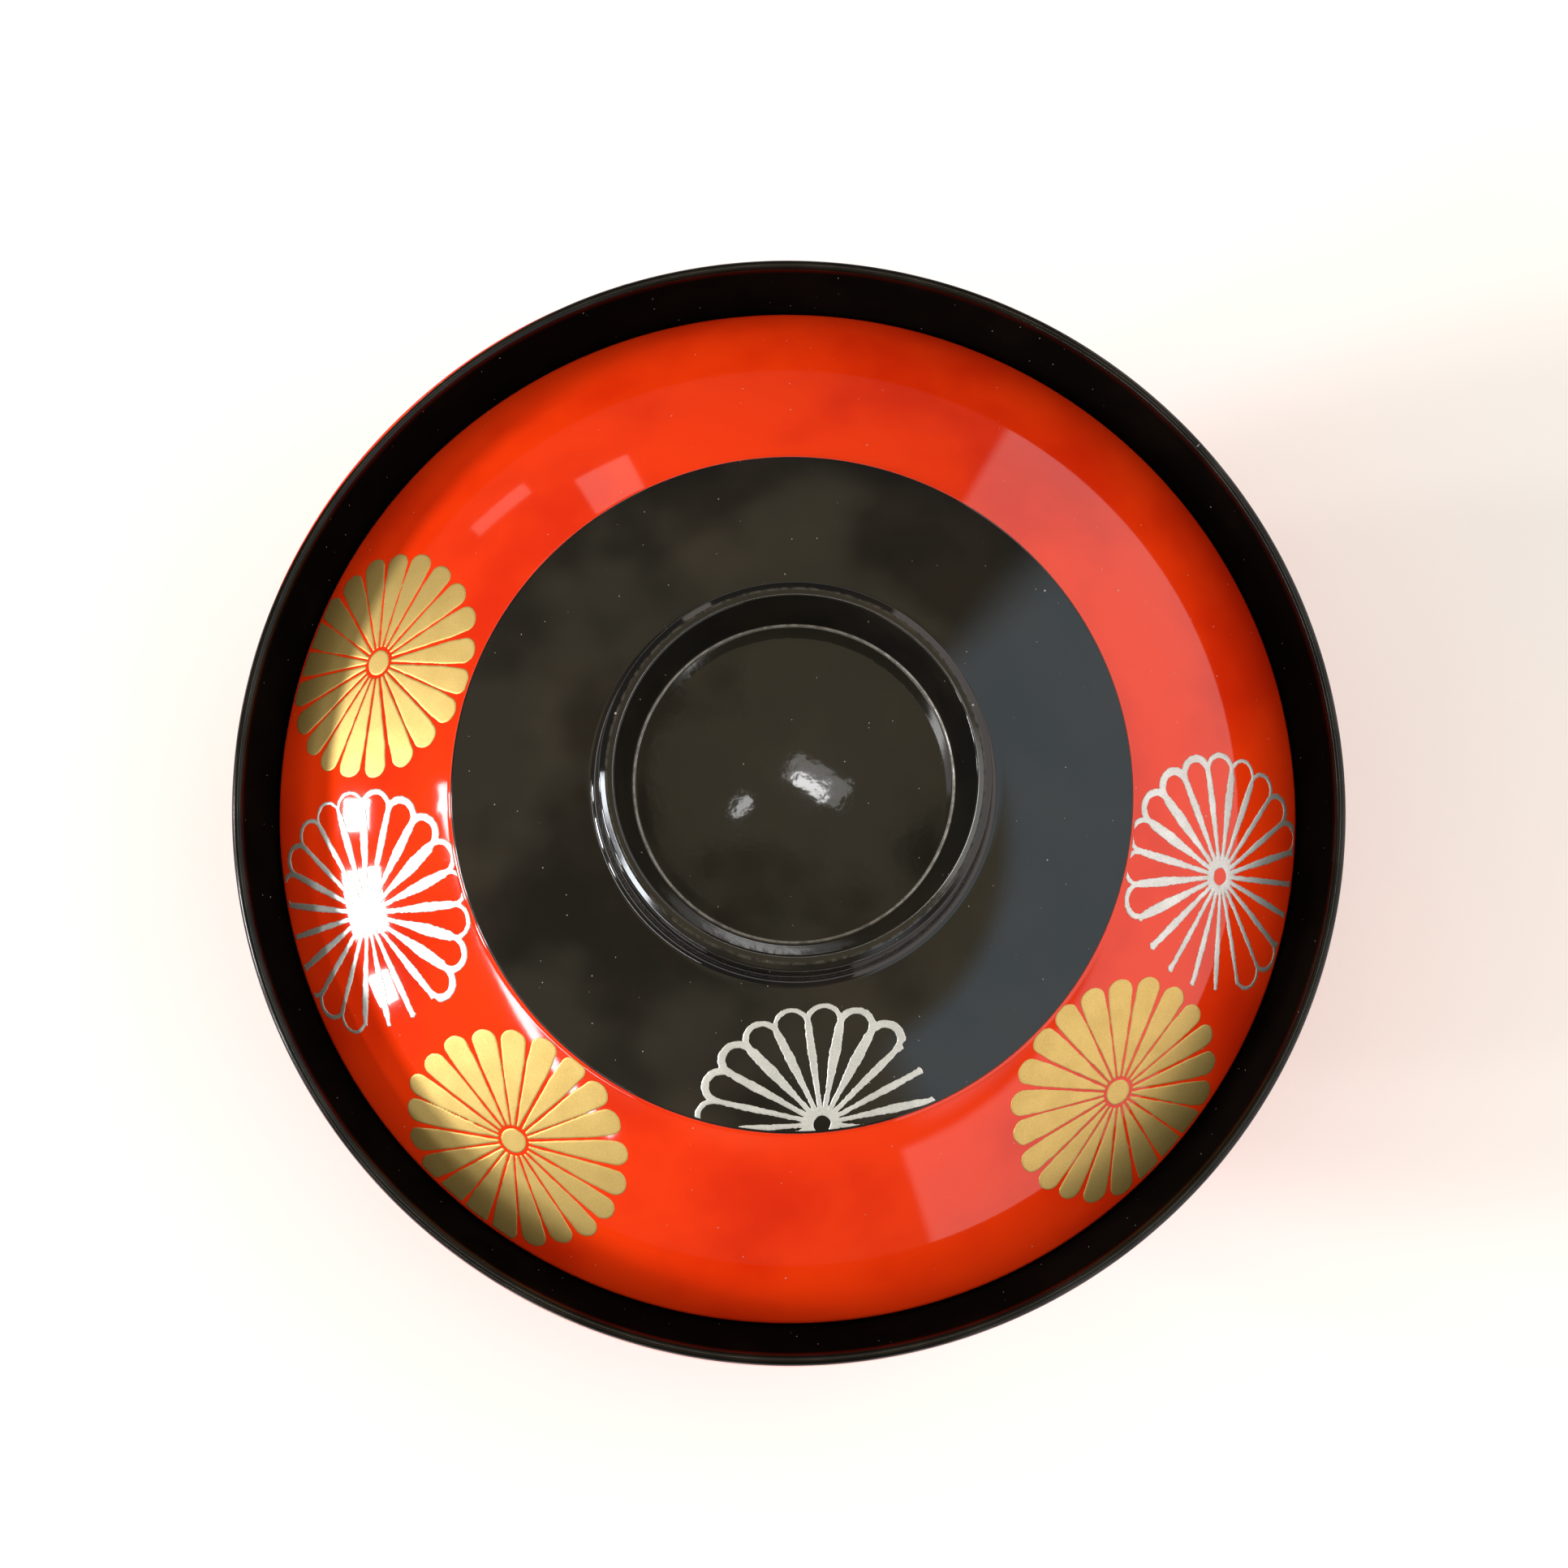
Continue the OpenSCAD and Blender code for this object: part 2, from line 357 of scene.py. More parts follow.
satin = {"black": (0.0024, 0.0018, 0.0014), "brown": (0.0042, 0.0028, 0.0020), "gloss": 0.30, "sheen": 0.0,
         "coatGloss": 0.16, "lipDepth": 0.85, "seatDepth": 10.5}


# Dull where the lid rubs against it, from the lip down to the lid's seat; the
# lip itself and all the rest have kept their gloss
def satinBlackLacquer(name, lipHeight=None):
    p = Finish(name)
    turnedLines = p.noise(p.add("ShaderNodeCombineXYZ", {}, {0: p.radius * 0.15, 1: p.z}), 2.2, 3.0)
    cloud = p.noise(p.place, 0.12, 3.0).rise(0.35, 0.7)
    colour = p.mix(cloud, satin["black"], satin["brown"])
    roughness = satin["gloss"] + 0.12 * p.noise(p.place, 0.5, 3.0)
    kept = 0.5 + 0.3 * cloud
    if lipHeight is not None:
        onLip = (p.z - (lipHeight - satin["lipDepth"])).rise(0, 0.35)
        kept = kept * (onLip + 1 - (p.z - (lipHeight - satin["seatDepth"])).rise(-0.5, 0.5))
    more = {"Specular IOR Level": satin["sheen"], "Coat Weight": kept, "Coat Roughness": satin["coatGloss"]}
    return lacquered(p, p.unrolled(58), colour, turnedLines * 0.004, roughness, more)


# ---- wood ----

wood = {"pale": (0.46, 0.29, 0.15), "dark": (0.20, 0.11, 0.05), "ringGap": 2.1}


def turnedWood(name):
    p = Finish(name)
    bend = p.noise(p.place, 0.05, 2.0)
    across = (p.y * p.y + (p.z + 40) * (p.z + 40)) ** 0.5
    rings = p.maths("SINE", across / wood["ringGap"] * 2 * math.pi + bend * 9) * 0.5 + 0.5
    stretched = p.add("ShaderNodeVectorMath", {"operation": "MULTIPLY"}, {0: p.place, 1: (0.12, 1, 1)})
    fibre = p.noise(stretched, 3.0, 4.0)
    tone = (rings * 0.6 + fibre * 0.5).rise(0.2, 0.9)
    return p.done({
        "Base Color": p.mix(tone, wood["pale"], wood["dark"]),
        "Roughness": 0.55 + 0.2 * fibre,
        "Normal": p.bump(rings * 0.01 + fibre * 0.02),
    })


# ---- bowl ----

bowl = {
    "bellyOut": 1.3, "bellyDrop": 16.0, "wall": 5.2, "lipRound": 0.61, "lipHalf": 0.6,
    "hollow": 12.0, "floor": 4.2, "footRadius": 30.5, "footWidth": 3.2,
    "footWaist": 14.0, "footWaistHeight": 7.0, "footSoft": 0.25,
    "coat": 0.25, "lineHeight": 1.05, "footLine": 32.0,
    "lineRise": 1.18, "lineRiseAt": 137.0, "lineRiseSpan": 33.0, "lineWander": 0.07,
}

lipTop = high("bowl_inner_coat", 2)
bellyRadius = high("bowl_red_coat", 0)
bellyHeight = lipTop - bowl["bellyDrop"]
lipCentre = (bellyRadius - bowl["bellyOut"] - bowl["lipHalf"], lipTop - bowl["lipRound"])
climb = lipCentre[1] - bellyHeight


# radius of the arc that stands upright at the belly and meets the lip's round
def sweep(out):
    half = bowl["lipHalf"]
    return (out * out + climb * climb - half * half) / (2 * (out - half))


innerRadius = bellyRadius - bowl["wall"]
outerSweep = sweep(bellyRadius - lipCentre[0])
innerSweep = sweep(lipCentre[0] - innerRadius)
outerCentre, innerCentre = bellyRadius - outerSweep, innerRadius + innerSweep
outerTurn = math.degrees(math.atan2(climb, lipCentre[0] - outerCentre))
innerTurn = 180 - math.degrees(math.atan2(climb, innerCentre - lipCentre[0]))
cupOut, cupIn = bellyHeight - bowl["hollow"], bellyHeight - bowl["hollow"] - bowl["floor"]
waistX = bowl["footRadius"] + math.sqrt(bowl["footWaist"] ** 2 - bowl["footWaistHeight"] ** 2)
footInner = bowl["footRadius"] - bowl["footWidth"]

# where the foot's hollowed side runs into the bottom of the bowl
gap = math.hypot(waistX - (bellyRadius - cupOut), bowl["footWaistHeight"] - bellyHeight)
lean = math.degrees(math.atan2(bellyHeight - bowl["footWaistHeight"], bellyRadius - cupOut - waistX))
share = (gap ** 2 + bowl["footWaist"] ** 2 - cupOut ** 2) / (2 * gap * bowl["footWaist"])
waistTop = lean + math.degrees(math.acos(share))
meeting = (waistX + bowl["footWaist"] * math.cos(math.radians(waistTop)),
           bowl["footWaistHeight"] + bowl["footWaist"] * math.sin(math.radians(waistTop)))
cupStart = math.degrees(math.atan2(meeting[1] - bellyHeight, meeting[0] - (bellyRadius - cupOut)))

bowlRuns = [
    line((0, bowl["hollow"]), (footInner, bowl["hollow"])),
    line((footInner, bowl["hollow"]), (footInner, 0)),
    line((footInner, 0), (bowl["footRadius"], 0)),
    arc((waistX, bowl["footWaistHeight"]), bowl["footWaist"], 210, waistTop),
    arc((bellyRadius - cupOut, bellyHeight), cupOut, cupStart, 0),
    arc((outerCentre, bellyHeight), outerSweep, 0, outerTurn, 0.25),
    arc(lipCentre, bowl["lipRound"], outerTurn, innerTurn, 0.04),
    arc((innerCentre, bellyHeight), innerSweep, innerTurn, 180, 0.5),
    arc((innerRadius - cupIn, bellyHeight), cupIn, 0, -90, 0.9),
    line((innerRadius - cupIn, bellyHeight - cupIn), (0, bellyHeight - cupIn)),
]
none = (0, 0)
edge = (bowl["footSoft"], bowl["footSoft"])
bowlOutline = Outline(joined(bowlRuns, [(1.2, 1.2), edge, edge, (0.9, 0.9)] + [none] * 5))

# the line between black and red was brushed by hand: it wanders, and on one
# side it climbs onto the lip
turns = np.degrees(np.linspace(0, 2 * math.pi, turning["segments"], endpoint=False))
fromRise = (turns - bowl["lineRiseAt"] + 180) % 360 - 180
wander = (np.sin(np.radians(turns * 3 + 40)) + 0.6 * np.sin(np.radians(turns * 7 + 10))
          + 0.4 * np.sin(np.radians(turns * 19)))
lineShift = (bowl["lineRise"] * np.exp(-(fromRise / bowl["lineRiseSpan"]) ** 2)
             + bowl["lineWander"] * wander)

lineHeight = lipTop - bowl["lineHeight"]
lineRadius = outerCentre + math.sqrt(outerSweep ** 2 - (lineHeight - bellyHeight) ** 2)
lineAt = bowlOutline.near((lineRadius, lineHeight))
footLineAt = bowlOutline.near((bowl["footLine"], bellyHeight - math.sqrt(
    cupOut ** 2 - (bowl["footLine"] - bellyRadius + cupOut) ** 2)))
footInsideEnd = bowlOutline.near((footInner + bowl["footSoft"], 0))
footOutsideStart = bowlOutline.near((bowl["footRadius"] - bowl["footSoft"], 0))
bowlEnd = bowlOutline.along[-1]

redOutside = makePiece("redOutside", *turned([
    coatLoop(bowlOutline, footLineAt, lineAt, bowl["coat"], stopShift=lineShift)]),
    redLacquer("redLacquerOutside", 60.0), "bowl")
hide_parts("bowl_red_coat")

blackInside = makePiece("blackInside", *turned([
    coatLoop(bowlOutline, lineAt, bowlEnd, bowl["coat"], startShift=lineShift)]),
    satinBlackLacquer("satinBlackLacquer", lipTop), "bowl")
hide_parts("bowl_inner_coat")

footLacquer = makePiece("footLacquer", *turned([
    coatLoop(bowlOutline, 0, footInsideEnd, bowl["coat"]),
    coatLoop(bowlOutline, footOutsideStart, footLineAt, bowl["coat"])]),
    satinBlackLacquer("footBlackLacquer"), "bowl")
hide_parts("bowl_foot_coat")

core = turnedWood("turnedWood")
for node in ("bowl_core", "lid_core"):
    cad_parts[node].data.materials.clear()
    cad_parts[node].data.materials.append(core)
print("bowl made")


# ---- lid ----

lid = {
    "skirtBall": 88.5, "crownBall": 115.0, "underBall": 92.0, "step": 0.4,
    "thickness": 2.9, "edgeRound": 0.45, "coat": 0.25,
    "crestOut": 0.8, "crestIn": 0.8, "outerDraft": 0.4, "innerDraft": 1.7,
    "bevel": 0.4, "fillet": 1.3, "crestRadius": 19.1, "discRise": 5.15,
}

lidRadius, lidLow = high("lid_red_coat", 0), low("lid_inner_coat", 2)
discRadius, ringTop = high("lid_black_coat", 0), high("lid_black_coat", 2)
discHeight = lipTop + lid["discRise"]
skirtCentre = discHeight - lid["step"] - math.sqrt(lid["skirtBall"] ** 2 - discRadius ** 2)
crownCentre = discHeight - math.sqrt(lid["crownBall"] ** 2 - discRadius ** 2)
underCentre = crownCentre + lid["crownBall"] - lid["thickness"] - lid["underBall"]


def ballHeight(centre, ball, radius):
    return centre + math.sqrt(ball * ball - radius * radius)


def ballTurn(ball, radius):
    return math.degrees(math.acos(radius / ball))


underEdge = math.sqrt(lid["underBall"] ** 2 - (lidLow - underCentre) ** 2)
roundX = lidRadius - lid["edgeRound"]
crestOuter, crestInner = lid["crestRadius"] + lid["crestOut"], lid["crestRadius"] - lid["crestIn"]
recessRadius = crestInner - lid["innerDraft"]
filletX = crestOuter + lid["outerDraft"] + lid["fillet"]
filletZ = crownCentre + math.sqrt((lid["crownBall"] + lid["fillet"]) ** 2 - filletX ** 2)
filletTouch = filletX * lid["crownBall"] / (lid["crownBall"] + lid["fillet"])
filletTurn = 180 + ballTurn(lid["crownBall"] + lid["fillet"], filletX)
skirtTop = ballHeight(skirtCentre, lid["skirtBall"], discRadius)

lidRuns = [
    arc((0, underCentre), lid["underBall"], 90, ballTurn(lid["underBall"], underEdge)),
    line((underEdge, lidLow), (roundX, lidLow), 0.4),
    arc((roundX, lidLow + lid["edgeRound"]), lid["edgeRound"], -90, 0, 0.05),
    line((lidRadius, lidLow + lid["edgeRound"]),
         (lidRadius, ballHeight(skirtCentre, lid["skirtBall"], lidRadius)), 0.3),
    arc((0, skirtCentre), lid["skirtBall"], ballTurn(lid["skirtBall"], lidRadius),
        ballTurn(lid["skirtBall"], discRadius)),
    line((discRadius, skirtTop), (discRadius, discHeight), 0.1),
    arc((0, crownCentre), lid["crownBall"], ballTurn(lid["crownBall"], discRadius),
        ballTurn(lid["crownBall"], filletTouch)),
    arc((filletX, filletZ), lid["fillet"], filletTurn, 181, 0.08),
    line((filletX - lid["fillet"], filletZ), (crestOuter, ringTop - lid["bevel"]), 0.4),
    line((crestOuter, ringTop - lid["bevel"]), (lid["crestRadius"], ringTop), 0.2),
    line((lid["crestRadius"], ringTop), (crestInner, ringTop), 0.2),
    line((crestInner, ringTop),
         (recessRadius, ballHeight(crownCentre, lid["crownBall"], recessRadius)), 0.4),
    arc((0, crownCentre), lid["crownBall"], ballTurn(lid["crownBall"], recessRadius), 90),
]
lidOutline = Outline(joined(lidRuns, [
    (0.3, 0.3), none, none, (0.4, 0.4), (0.45, 0.17), (0.16, 0.2), none, (0.1, 0.1),
    (0.2, 0.2), (0.12, 0.12), (0.18, 0.18), (0.3, 0.25)]))

edgeSeam = lidOutline.near((lidRadius, lidLow + lid["edgeRound"]))
stepSeam = lidOutline.near((discRadius, skirtTop + 0.17))
lidEnd = lidOutline.along[-1]

lidUnder = makePiece("lidUnder", *turned([coatLoop(lidOutline, 0, edgeSeam, lid["coat"])]),
                     satinBlackLacquer("lidUnderLacquer"), "lid")
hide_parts("lid_inner_coat")

lidRed = makePiece("lidRed", *turned([coatLoop(lidOutline, edgeSeam, stepSeam, lid["coat"])]),
                   redLacquer("redLacquerLid"), "lid")
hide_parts("lid_red_coat")

recessFloor = ballHeight(crownCentre, lid["crownBall"], recessRadius)
lidBlack = makePiece("lidBlack", *turned([coatLoop(lidOutline, stepSeam, lidEnd, lid["coat"])]),
                     lidBlackLacquer("blackLacquerLid", (lid["crestRadius"], ringTop),
                                     (recessRadius, recessFloor)), "lid")
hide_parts("lid_black_coat")
print("lid made")


# ---- flowers: powder film, drawn flat and laid on the lid ----

# onSlope and onMiddle: how flat a round flower looks from straight above, its
# half towards the lid's middle and its half towards the edge
flower = {
    "petals": 21, "pitch": 0.1, "film": 0.06, "edgeSoft": 0.16, "edgeLow": 0.3, "sunk": 0.02,
    "reach": 14.2, "onSlope": (0.845, 0.76), "onMiddle": (0.93, 0.96), "skirtHub": 47.1,
    "frontHub": 35.1, "frontSize": 0.972, "inset": 0.35, "offStep": 0.3, "offEdge": 0.25,
}
petalStep = 360 / flower["petals"]


# smooth random values from -1 to 1, one for each place
class Grain:
    def __init__(self, seed):
        self.lattice = np.random.default_rng(seed).uniform(-1, 1, (128, 128))

    def __call__(self, x, y, size):
        x, y = x / size + 64, y / size + 64
        i, j = np.floor(x).astype(int), np.floor(y).astype(int)
        s, t = x - i, y - j
        s, t = s * s * (3 - 2 * s), t * t * (3 - 2 * t)
        count = len(self.lattice)
        corner = [self.lattice[(i + a) % count, (j + b) % count]
                  for a, b in ((0, 0), (1, 0), (0, 1), (1, 1))]
        near = corner[0] * (1 - s) + corner[1] * s
        away = corner[2] * (1 - s) + corner[3] * s
        return near * (1 - t) + away * t


gold = {
    "length": 13.0, "tip": 1.3, "tipHalf": 1.46, "bend": 9.3, "bendHalf": 1.29, "inner": 1.8,
    "innerHalf": 0.15, "eye": 1.45, "edge": 0.035,
    "unevenWidth": 0.03, "unevenLength": 0.012, "unevenTurn": 0.5,
}


# How far inside the drawn shape each place is, in millimetres; below 0 is out
def goldFlower(u, v, phase, seed):
    grain, chance = Grain(seed), np.random.default_rng(seed)
    wide = 1 + gold["unevenWidth"] * chance.uniform(-1, 1, flower["petals"])
    long = 1 + gold["unevenLength"] * chance.uniform(-1, 1, flower["petals"])
    turn = gold["unevenTurn"] * chance.uniform(-1, 1, flower["petals"])
    rho, theta = np.hypot(u, v), np.degrees(np.arctan2(v, u)) - phase
    k = np.round(theta / petalStep).astype(int)
    off = np.radians(theta - k * petalStep - turn[k % flower["petals"]])
    along, across = rho * np.cos(off) / long[k % flower["petals"]], np.abs(rho * np.sin(off))
    across = across / wide[k % flower["petals"]]
    shoulder = gold["length"] - gold["tip"]
    half = np.interp(along, [gold["inner"], gold["bend"], shoulder],
                     [gold["innerHalf"], gold["bendHalf"], gold["tipHalf"]])
    side = half - across
    tip = gold["tip"] * (1 - np.hypot((along - shoulder) / gold["tip"], across / gold["tipHalf"]))
    petal = np.minimum(np.where(along > shoulder, tip, side), along - gold["inner"])
    eye = gold["eye"] - rho
    return np.maximum(petal, eye) + gold["edge"] * grain(u, v, 0.8) + 0.4 * gold["edge"] * grain(v, u, 0.25)


silver = {
    "arcRound": 1.75, "length": 13.3, "eyeOut": 1.75, "eyeIn": 0.92, "uneven": 0.18, "arcHalf": 0.28,
    "arcUneven": 0.3, "edge": 0.05, "thin": 0.27, "web": 0.22, "heavier": 0.3,
    "strokeTurn": 97, "arcTurn": 61, "arcTurnFrom": 40, "perTurn": 57.3, "arcEnd": 101, "stubFrom": 72,
}


# The larger of two, with the corner between them filled in
def webbed(a, b):
    near = np.maximum(silver["web"] - np.abs(a - b), 0)
    return np.maximum(a, b) + near * near / (4 * silver["web"])


def silverFlower(u, v, phase, gapFrom, gapTo, weight, heavyAt, seed):
    grain = Grain(seed)
    rho, theta = np.hypot(u, v), np.degrees(np.arctan2(v, u)) - phase
    k = np.round(theta / petalStep).astype(int)
    off = np.radians(theta - k * petalStep)
    k = k % flower["petals"]
    along, across = rho * np.cos(off), np.abs(rho * np.sin(off))
    heavy = 1 + silver["heavier"] * np.cos(np.radians(k * petalStep + phase - heavyAt))
    full = weight * heavy * (1 + silver["uneven"] * np.sin(k * silver["strokeTurn"] / silver["perTurn"]))
    arcX = silver["length"] - silver["arcRound"]
    marks = [1.3, 3.8, 8.1, 11.1, arcX + 0.1]
    thin = np.full_like(full, silver["thin"])
    widths = np.stack([thin, thin, full, full * 0.8, thin])
    spot = np.clip(np.searchsorted(marks, along) - 1, 0, len(marks) - 2)
    start = np.take(marks, spot)
    part = np.clip((along - start) / (np.take(marks, spot + 1) - start), 0, 1)
    half = (np.take_along_axis(widths, spot[None], 0)[0] * (1 - part)
            + np.take_along_axis(widths, spot[None] + 1, 0)[0] * part)
    stroke = np.minimum(half - across, np.minimum(along - marks[0], marks[-1] + 0.15 - along))
    eye = np.minimum(silver["eyeOut"] - rho, rho - silver["eyeIn"])
    m = np.floor(theta / petalStep).astype(int)
    middle = np.radians((m + 0.5) * petalStep)
    m = m % flower["petals"]
    beside = np.radians(theta) - middle
    arcU, arcV = rho * np.cos(beside) - arcX, rho * np.sin(beside)
    around = np.abs(np.degrees(np.arctan2(arcV, arcU)))
    heavy = 1 + silver["heavier"] * np.cos(np.radians((m + 0.5) * petalStep + phase - heavyAt))
    swell = np.sin((m * silver["arcTurn"] + silver["arcTurnFrom"]) / silver["perTurn"])
    thickness = silver["arcHalf"] * heavy * (1 + silver["arcUneven"] * swell)
    scallop = thickness - np.abs(np.hypot(arcU, arcV) - silver["arcRound"])
    perDegree = 0.03  # millimetres along an arc, about
    scallop = np.minimum(scallop, (silver["arcEnd"] - around) * perDegree)
    # an arc that never took leaves only its two ends
    missing = (m >= gapFrom) & (m < gapTo)
    stub = np.minimum(scallop, (around - silver["stubFrom"]) * perDegree)
    scallop = np.where(missing, stub, scallop)
    shape = webbed(np.maximum(stroke, eye), scallop)
    rough = grain(u, v, 0.32) + 0.5 * grain(v, u, 0.15)
    return shape + silver["edge"] * rough


# Traces the drawing on a fine grid, and makes it a closed film on a ball
def laidFilm(name, drawing, azimuth, hub, flat, ball, centre, inner, outer, material):
    reach, pitch = flower["reach"], flower["pitch"]
    us = np.arange(-reach * flat[0], reach * flat[1], pitch)
    vs = np.arange(-reach, reach, pitch)
    u, v = np.meshgrid(us, vs, indexing="ij")
    turn = math.radians(azimuth)
    x = math.cos(turn) * (hub + u) - math.sin(turn) * v
    y = math.sin(turn) * (hub + u) + math.cos(turn) * v
    radius = np.hypot(x, y)
    unflattened = u / np.where(u > 0, flat[1], flat[0])
    inside = np.minimum(drawing(unflattened, v), np.minimum(radius - inner, outer - radius))
    inside[[0, -1]] = inside[:, [0, -1]] = -1
    tiny = 0.004
    inside = np.where(np.abs(inside) < tiny, tiny, inside)  # no edge runs through a grid point
    solid = inside > 0
    number = -np.ones(inside.shape, int)
    number[solid] = np.arange(solid.sum())
    spots = [np.stack([x[solid], y[solid], inside[solid]], 1)]
    total = int(solid.sum())
    crossings = {}

    def crossing(a, b):
        nonlocal total
        key = (a, b) if a < b else (b, a)
        if key not in crossings:
            p, q = key
            share = inside[p] / (inside[p] - inside[q])
            share = min(max(share, 0.06), 0.94)  # keeps slivers out
            across, up = x[p] + share * (x[q] - x[p]), y[p] + share * (y[q] - y[p])
            spots.append(np.array([[across, up, 0.0]]))
            crossings[key] = total
            total += 1
        return crossings[key]

    full = solid[:-1, :-1] & solid[1:, :-1] & solid[1:, 1:] & solid[:-1, 1:]
    some = (solid[:-1, :-1] | solid[1:, :-1] | solid[1:, 1:] | solid[:-1, 1:]) & ~full
    i, j = np.nonzero(full)
    top = np.stack([number[i, j], number[i + 1, j], number[i + 1, j + 1], number[i, j + 1]], 1).tolist()
    rim = []
    for i, j in zip(*np.nonzero(some)):
        corners = [(i, j), (i + 1, j), (i + 1, j + 1), (i, j + 1)]
        starts = [k for k in range(4) if solid[corners[k]] and not solid[corners[k - 1]]]
        for start in starts:
            chain = [crossing(corners[start - 1], corners[start])]
            k = start
            while solid[corners[k % 4]]:
                chain.append(number[corners[k % 4]])
                k += 1
            chain.append(crossing(corners[(k - 1) % 4], corners[k % 4]))
            top.append([int(c) for c in chain])
            rim.append((chain[-1], chain[0]))
    flatXY = np.concatenate(spots)
    eased = np.clip(flatXY[:, 2] / flower["edgeSoft"], 0, 1)
    domed = np.sqrt(eased * (2 - eased))
    height = flower["film"] * (flower["edgeLow"] + (1 - flower["edgeLow"]) * domed)

    def onBall(lift):
        z = np.sqrt(ball * ball - flatXY[:, 0] ** 2 - flatXY[:, 1] ** 2)
        normal = np.stack([flatXY[:, 0], flatXY[:, 1], z], 1) / ball
        return (normal * (ball + lift)[:, None] + (0, 0, centre)) * mm

    upper, lower = onBall(height), onBall(np.full(len(flatXY), -flower["sunk"]))
    faces = list(top)
    faces.extend([[total + c for c in reversed(face)] for face in top])
    faces.extend([[a, b, total + b, total + a] for a, b in rim])
    return makePiece(name, np.concatenate([upper, lower]).tolist(), faces, material, "lid")


powder = {
    "gold": (0.80, 0.57, 0.20), "goldDull": (0.66, 0.45, 0.14), "goldRough": 0.46,
    "silver": (0.86, 0.85, 0.82), "silverGrey": (0.60, 0.59, 0.56), "silverRough": 0.46,
    "goldMetal": 0.9, "silverMetal": 0.9,
}


def powderFinish(name, bright, dull, roughness, metallic, grainHeight):
    p = Finish(name)
    dusted = p.noise(p.place, 6.0, 3.0)
    cloud = p.noise(p.place, 0.35, 3.0)
    tone = (dusted * 0.6 + cloud * 0.6).rise(0.35, 0.85)
    return p.done({
        "Base Color": p.mix(tone, bright, dull),
        "Roughness": roughness + 0.14 * dusted,
        "Metallic": metallic - 0.12 * tone,
        "Normal": p.bump(dusted * grainHeight + cloud * grainHeight * 4),
    })


goldPowder = powderFinish("goldPowder", powder["gold"], powder["goldDull"], powder["goldRough"],
                          powder["goldMetal"], 0.004)
silverPowder = powderFinish("silverPowder", powder["silver"], powder["silverGrey"], powder["silverRough"],
                            powder["silverMetal"], 0.014)
skirtOuter, skirtInner = lidRadius - flower["inset"], discRadius + flower["offStep"]


def onSkirt(name, node, drawing, azimuth, material):
    piece = laidFilm(name, drawing, azimuth, flower["skirtHub"], flower["onSlope"],
                     lid["skirtBall"], skirtCentre, skirtInner, skirtOuter, material)
    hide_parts(node)
    return piece


def frontDrawing(u, v):
    size = flower["frontSize"]
    return silverFlower(u / size, v / size, 12, 5, 7, 0.42, 180, 23) * size


# side, azimuth, turn of the first petal, seed
goldSides = (("Back", 161.9, 9.2, 11), ("Left", -128.8, 6.7, 12), ("Right", -42.5, 0.5, 13))
for side, azimuth, phase, seed in goldSides:
    onSkirt("goldFlower" + side, "gold_flower_" + side.lower(),
            lambda u, v: goldFlower(u, v, phase, seed), azimuth, goldPowder)
onSkirt("silverFlowerLeft", "silver_flower_left",
        lambda u, v: silverFlower(u, v, -1.8, 4, 7, 0.50, 180, 21), -164.4, silverPowder)
onSkirt("silverFlowerRight", "silver_flower_right",
        lambda u, v: silverFlower(u, v, 6.9, 12, 17, 0.44, 150, 22), -10.7, silverPowder)
frontFlower = laidFilm("silverFlowerFront", frontDrawing, -85.3, flower["frontHub"], flower["onMiddle"],
                       lid["crownBall"], crownCentre, 0.0, discRadius - flower["offEdge"], silverPowder)
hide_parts("silver_flower_front")
print("flowers laid")


# ---- studio ----

studio = {
    "floorSize": 6.0, "floor": (0.93, 0.92, 0.91), "floorWarm": (0.95, 0.91, 0.885),
    "seen": (0.97, 0.965, 0.955),
    "low": (0.12, 0.11, 0.10), "overhead": (0.68, 0.58, 0.37), "overheadDim": (0.24, 0.20, 0.12),
    "card": (1.05, 1.25, 1.35), "wall": (1.5, 1.35, 1.30),
}

floorMesh = bpy.data.meshes.new("floor")
half = studio["floorSize"] / 2
corners = [(-half, -half, 0), (half, -half, 0), (half, half, 0), (-half, half, 0)]
floorMesh.from_pydata(corners, [], [(0, 1, 2, 3)])
floor = bpy.data.objects.new("floor", floorMesh)
scene.collection.objects.link(floor)
p = Finish("paleBoard")
tint = p.noise(p.place, 0.008, 2.0).rise(0.35, 0.65)
floorMesh.materials.append(p.done({
    "Base Color": p.mix(tint, studio["floor"], studio["floorWarm"]),
    "Roughness": 0.7 + 0.1 * p.noise(p.place, 0.3, 3.0),
    "Normal": p.bump(p.noise(p.place, 0.8, 3.0) * 0.02),
}))

# A room: dark low down, a warm uneven ceiling, and on the right a pale wall
# with a dimmer bluish card above it
world = bpy.data.worlds.new("studio")
world.use_nodes = True
scene.world = world
p = Paint(world.node_tree)
direction = p.add("ShaderNodeTexCoord", {}, {}, "Generated")
east, north, up = (p.add("ShaderNodeSeparateXYZ", {}, {0: direction}, k) for k in range(3))
azimuth = p.maths("ARCTAN2", north, east) * (180 / math.pi)
elevation = p.maths("ARCSINE", up) * (180 / math.pi)


def between(value, first, last, soft):
    return (value - first).rise(-soft, soft) * (1 - (value - last).rise(-soft, soft))


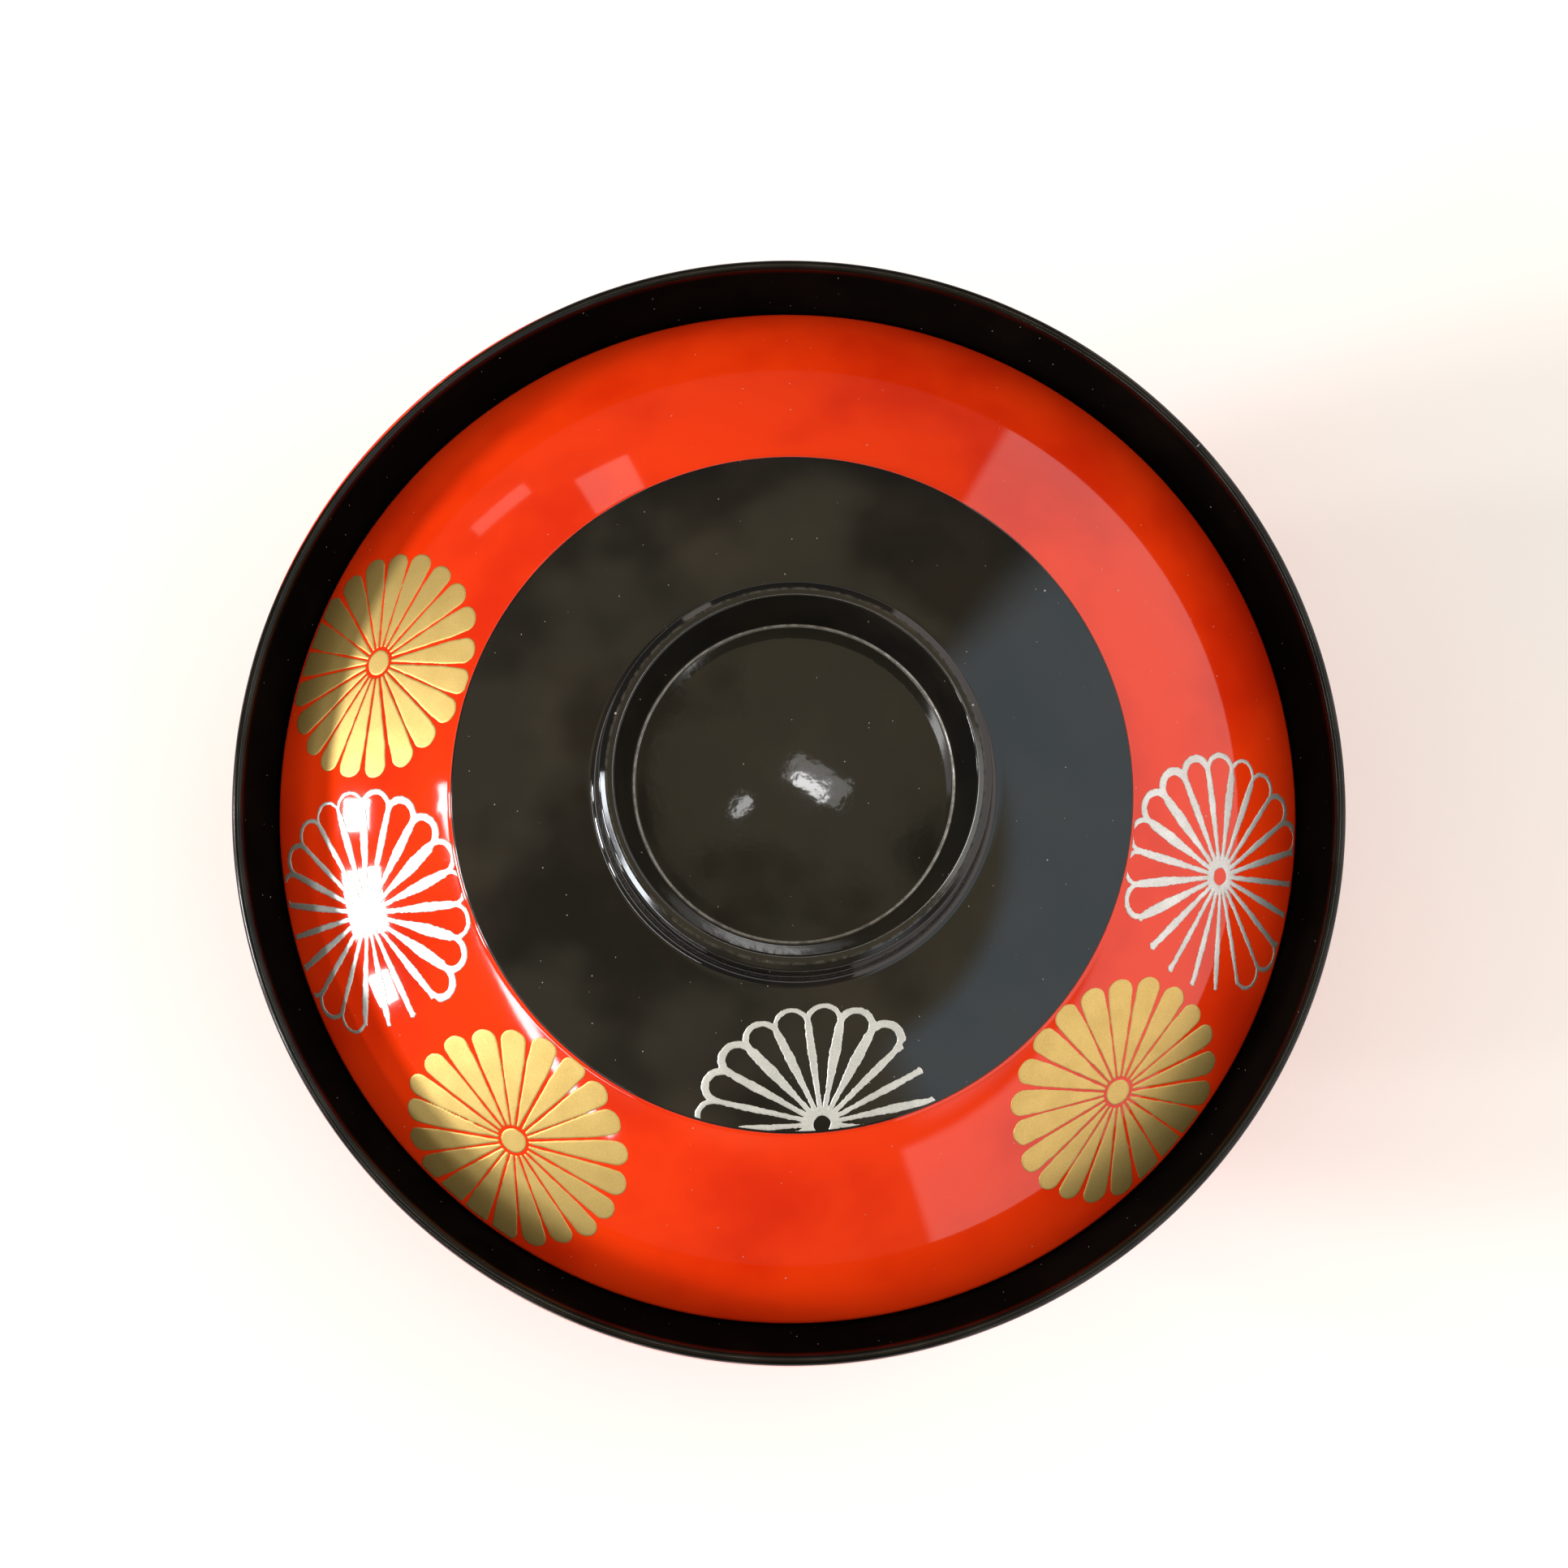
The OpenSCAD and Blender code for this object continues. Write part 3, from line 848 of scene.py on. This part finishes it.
patches = p.noise(direction, 1.9, 3.0).rise(0.46, 0.58)
ceiling = p.mix(patches, studio["overhead"], studio["overheadDim"])
room = p.mix((elevation - 36).rise(0, 7), studio["low"], ceiling)
room = p.mix(between(azimuth, -62, 48, 6) * between(elevation, 38, 61, 2), room, studio["card"])
room = p.mix(between(azimuth, -69, 62, 0.8) * between(elevation, -5, 35, 0.8), room, studio["wall"])
seen = p.add("ShaderNodeLightPath", {}, {}, "Is Camera Ray")
background = p.add("ShaderNodeBackground", {}, {"Color": p.mix(seen, room, studio["seen"])})
world.node_tree.links.new(background.socket, p.add("ShaderNodeOutputWorld").inputs["Surface"])


# A soft light that faces the lid, from an azimuth and height above the floor
def softLight(name, azimuth, elevation, distance, width, height, radiance, colour=(1, 1, 1)):
    data = bpy.data.lights.new(name, "AREA")
    data.shape, data.size, data.size_y = "RECTANGLE", width, height
    data.energy = radiance * width * height * math.pi
    data.color = colour
    lamp = bpy.data.objects.new(name, data)
    scene.collection.objects.link(lamp)
    aim = Vector((0, 0, lipTop * mm))
    a, e = math.radians(azimuth), math.radians(elevation)
    away = Vector((math.cos(a) * math.cos(e), math.sin(a) * math.cos(e), math.sin(e)))
    lamp.location = aim + away * distance
    lamp.rotation_mode = "QUATERNION"
    lamp.rotation_quaternion = away.to_track_quat("Z", "Y")
    lamp.visible_camera = False
    return lamp


softLight("windowUpper", 175, 16.7, 2.0, 0.14, 0.17, 95, (0.94, 0.97, 1.0))
softLight("windowMiddle", -173, 17.6, 2.0, 0.30, 0.26, 95, (0.94, 0.97, 1.0))
softLight("windowLower", -161, 16.5, 2.0, 0.14, 0.17, 95, (0.94, 0.97, 1.0))
softLight("windowHigh", 174, 33, 2.0, 0.05, 0.05, 30, (0.94, 0.97, 1.0))
softLight("doorway", 115, 24, 2.0, 0.26, 0.34, 1.7, (1.0, 0.90, 0.80))
softLight("doorwayLow", 129, 15, 2.0, 0.30, 0.10, 1.4, (1.0, 0.90, 0.80))
# high on the window side: only the rounded steps mirror it, and the powder
softLight("windowTop", -155, 37.9, 2.0, 2.2, 0.06, 24, (0.90, 0.95, 1.0))
softLight("ceilingLamp", 64, 82, 2.0, 0.16, 0.06, 15)
softLight("ceilingLampGlow", 60, 81, 2.1, 0.30, 0.14, 2.2)
softLight("ceilingLampSmall", 140, 83, 2.0, 0.11, 0.045, 8)
# lights the colours from above without showing in the gloss
softLight("fill", 90, 80, 1.6, 2.4, 2.4, 0.78, (0.93, 0.97, 1.0)).visible_glossy = False

camera = bpy.data.objects.new("camera", bpy.data.cameras.new("camera"))
scene.collection.objects.link(camera)
camera.data.lens = 54.04
camera.data.clip_start = 0.01
camera.location = (-0.00643, -0.03303, 0.3169)
camera.rotation_mode = "YXZ"
camera.rotation_euler = (math.radians(7.765), math.radians(-1.267), 0)
scene.camera = camera
scene.view_settings.view_transform = "Standard"
print("studio set")
